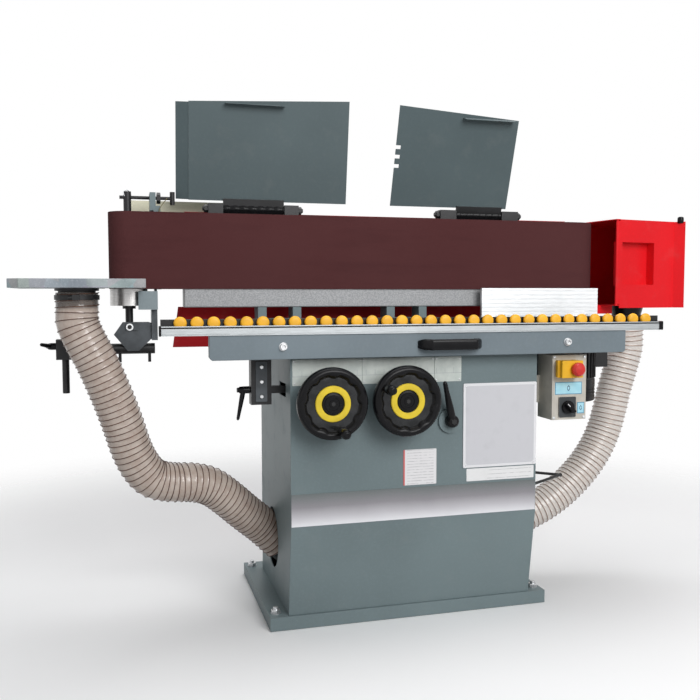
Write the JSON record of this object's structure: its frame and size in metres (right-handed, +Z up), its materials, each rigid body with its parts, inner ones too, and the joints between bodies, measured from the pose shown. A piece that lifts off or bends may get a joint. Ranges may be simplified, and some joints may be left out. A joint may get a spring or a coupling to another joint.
{
  "type": "edge sander",
  "caption": "Oscillating edge sanding machine: upright abrasive belt over two drums, roller table on a height screw, flip-up covers, side table, dust hood and hoses.",
  "frame": {"origin": "centre of the base plate's underside, on the floor", "axes": "+X along the belt to the drive end, -Y to the operator, +Z up"},
  "size_m": [1.9382, 0.6393, 1.3933],
  "materials": {
    "paint": "satin grey paint",
    "red_paint": "gloss red paint",
    "dark_red_paint": "dark red paint",
    "cream_paint": "cream paint",
    "steel": "bright machined steel",
    "iron": "dark iron",
    "alu": "satin anodised",
    "black_plastic": "matte black",
    "orange_plastic": "gloss",
    "yellow_plastic": "gloss",
    "red_plastic": "gloss",
    "green_plastic": "gloss",
    "grey_plastic": "matte",
    "bronze": "turned",
    "abrasive": "coated abrasive cloth",
    "graphite": "graphite cloth",
    "hose": "clear ribbed hose"
  },
  "bodies": {
    "frame": {"base_plate": "paint", "column": "paint", "frame_fasteners": "steel", "front_plates": "alu", "control_box": "grey_plastic", "control_lid": "grey_plastic", "switch_housing": "yellow_plastic", "hose_hook": "iron", "dust_duct": "paint", "head_saddle": "steel", "shaft_bushes": "steel", "left_hose": "hose", "right_hose": "hose"},
    "switch_flap": {"switch_flap": "yellow_plastic"},
    "stop_button": {"stop_button": "red_plastic"},
    "start_button": {"start_button": "green_plastic"},
    "rotary_knob": {"rotary_knob": "black_plastic"},
    "height_wheel": {"height_wheel": "black_plastic", "height_ring": "yellow_plastic", "height_shaft": "steel"},
    "height_grip": {"height_grip": "black_plastic"},
    "infeed_wheel": {"infeed_wheel": "black_plastic", "infeed_ring": "yellow_plastic", "infeed_screw": "steel"},
    "infeed_grip": {"infeed_grip": "black_plastic"},
    "front_lever": {"front_lever": "iron"},
    "cross_carriage": {"cross_carriage": "iron"},
    "side_lever": {"side_lever": "iron"},
    "bevel_pinion": {"bevel_pinion": "steel"},
    "lift_screw": {"lift_screw": "steel"},
    "table": {"table_top": "paint", "table_apron": "paint", "table_rail": "alu", "rollers": "orange_plastic", "pull_handle": "black_plastic", "apron_bolts": "steel", "stop_bar": "alu", "guide_bars": "steel", "lift_nut": "bronze"},
    "head": {"platen_beam": "paint", "platen_pad": "graphite", "sanding_belt": "abrasive", "head_bushes": "iron", "motor_body": "alu", "motor_cowl": "black_plastic", "yoke_frame": "paint", "rear_guard": "dark_red_paint", "rear_panel": "cream_paint", "hinge_blocks": "iron", "hood": "red_paint", "aux_arm": "iron"},
    "drive_drum": {"drive_drum": "alu"},
    "idler_carriage": {"idler_carriage": "steel"},
    "idler_drum": {"idler_drum": "alu"},
    "left_cover": {"left_cover": "paint"},
    "right_cover": {"right_cover": "paint"},
    "hood_door": {"hood_door": "red_paint"},
    "aux_table": {"aux_table": "paint"},
    "aux_lever": {"aux_lever": "black_plastic"}
  },
  "joints": [
    {"name": "head_oscillation", "type": "slide", "parent": "frame", "child": "head", "axis": [0, 0, 1], "range_m": [-0.003, 0.003]},
    {"name": "drum_spin", "type": "hinge", "parent": "head", "child": "drive_drum", "pos_m": [0.57967, 0.01, 0.98], "axis": [0, 0, 1], "continuous": true},
    {"name": "idler_slide", "type": "slide", "parent": "head", "child": "idler_carriage", "axis": [1, 0, 0], "range_m": [0, 0.015]},
    {"name": "idler_spin", "type": "hinge", "parent": "idler_carriage", "child": "idler_drum", "pos_m": [-0.7235, -0.015, 0.96], "axis": [0, 0, 1], "continuous": true},
    {"name": "left_cover_hinge", "type": "hinge", "parent": "head", "child": "left_cover", "pos_m": [-0.39, -0.011, 1.097], "axis": [1, 0, 0], "range_deg": [-15, 75]},
    {"name": "right_cover_hinge", "type": "hinge", "parent": "head", "child": "right_cover", "pos_m": [0.275, -0.011, 1.097], "axis": [1, 0, 0], "range_deg": [-25, 68]},
    {"name": "hood_door_hinge", "type": "hinge", "parent": "head", "child": "hood_door", "pos_m": [0.68357, -0.10755, 0.956], "axis": [0, 0, 1], "range_deg": [-90, 0]},
    {"name": "aux_lift", "type": "slide", "parent": "head", "child": "aux_table", "axis": [0, 0, 1], "range_m": [-0.05, 0.03], "deforming": ["left_hose"]},
    {"name": "aux_lever_turn", "type": "hinge", "parent": "head", "child": "aux_lever", "pos_m": [-0.912, -0.015, 0.731], "axis": [1, 0, 0], "range_deg": [-60, 60]},
    {"name": "height_wheel_turn", "type": "hinge", "parent": "frame", "child": "height_wheel", "pos_m": [-0.249, -0.33, 0.597], "axis": [0, 1, 0], "range_deg": [0, 5400]},
    {"name": "height_grip_spin", "type": "hinge", "parent": "height_wheel", "child": "height_grip", "pos_m": [-0.23088, -0.37, 0.52938], "axis": [0, 1, 0], "continuous": true},
    {"name": "bevel_pinion_spin", "type": "hinge", "parent": "cross_carriage", "child": "bevel_pinion", "pos_m": [-0.249, -0.16, 0.597], "axis": [0, 1, 0], "range_deg": [0, 5400]},
    {"name": "lift_screw_spin", "type": "hinge", "parent": "cross_carriage", "child": "lift_screw", "pos_m": [-0.249, -0.105, 0.64], "axis": [0, 0, 1], "range_deg": [0, 5400]},
    {"name": "table_lift", "type": "slide", "parent": "cross_carriage", "child": "table", "axis": [0, 0, 1], "range_m": [0, 0.075]},
    {"name": "infeed_wheel_turn", "type": "hinge", "parent": "frame", "child": "infeed_wheel", "pos_m": [-0.055, -0.33, 0.597], "axis": [0, 1, 0], "range_deg": [-1440, 360]},
    {"name": "infeed_grip_spin", "type": "hinge", "parent": "infeed_wheel", "child": "infeed_grip", "pos_m": [-0.11562, -0.37, 0.632], "axis": [0, 1, 0], "continuous": true},
    {"name": "cross_slide", "type": "slide", "parent": "frame", "child": "cross_carriage", "axis": [0, 1, 0], "range_m": [-0.02, 0.005]},
    {"name": "front_lever_turn", "type": "hinge", "parent": "frame", "child": "front_lever", "pos_m": [0.087, -0.284, 0.533], "axis": [0, 1, 0], "range_deg": [-10, 80]},
    {"name": "side_lever_turn", "type": "hinge", "parent": "cross_carriage", "child": "side_lever", "pos_m": [-0.44, -0.155, 0.618], "axis": [1, 0, 0], "range_deg": [-40, 60]},
    {"name": "switch_flap_hinge", "type": "hinge", "parent": "frame", "child": "switch_flap", "pos_m": [0.385, -0.30025, 0.664], "axis": [0, 0, 1], "range_deg": [-100, 0]},
    {"name": "stop_press", "type": "slide", "parent": "switch_flap", "child": "stop_button", "axis": [0, 1, 0], "range_m": [0, 0.0035], "stiffness_N_per_m": 800, "springref_m": -0.003},
    {"name": "start_press", "type": "slide", "parent": "frame", "child": "start_button", "axis": [0, 1, 0], "range_m": [0, 0.003], "stiffness_N_per_m": 600, "springref_m": -0.003},
    {"name": "rotary_turn", "type": "hinge", "parent": "frame", "child": "rotary_knob", "pos_m": [0.424, -0.29, 0.558], "axis": [0, 1, 0], "range_deg": [0, 90]}
  ],
  "couplings": [
    {"joint": "idler_spin", "follows": "drum_spin", "ratio": 1.5},
    {"joint": "height_wheel_turn", "follows": "table_lift", "rad_per_m": 1256.6},
    {"joint": "bevel_pinion_spin", "follows": "table_lift", "rad_per_m": 1256.6},
    {"joint": "lift_screw_spin", "follows": "table_lift", "rad_per_m": 1256.6},
    {"joint": "infeed_wheel_turn", "follows": "cross_slide", "rad_per_m": 1256.6}
  ]
}
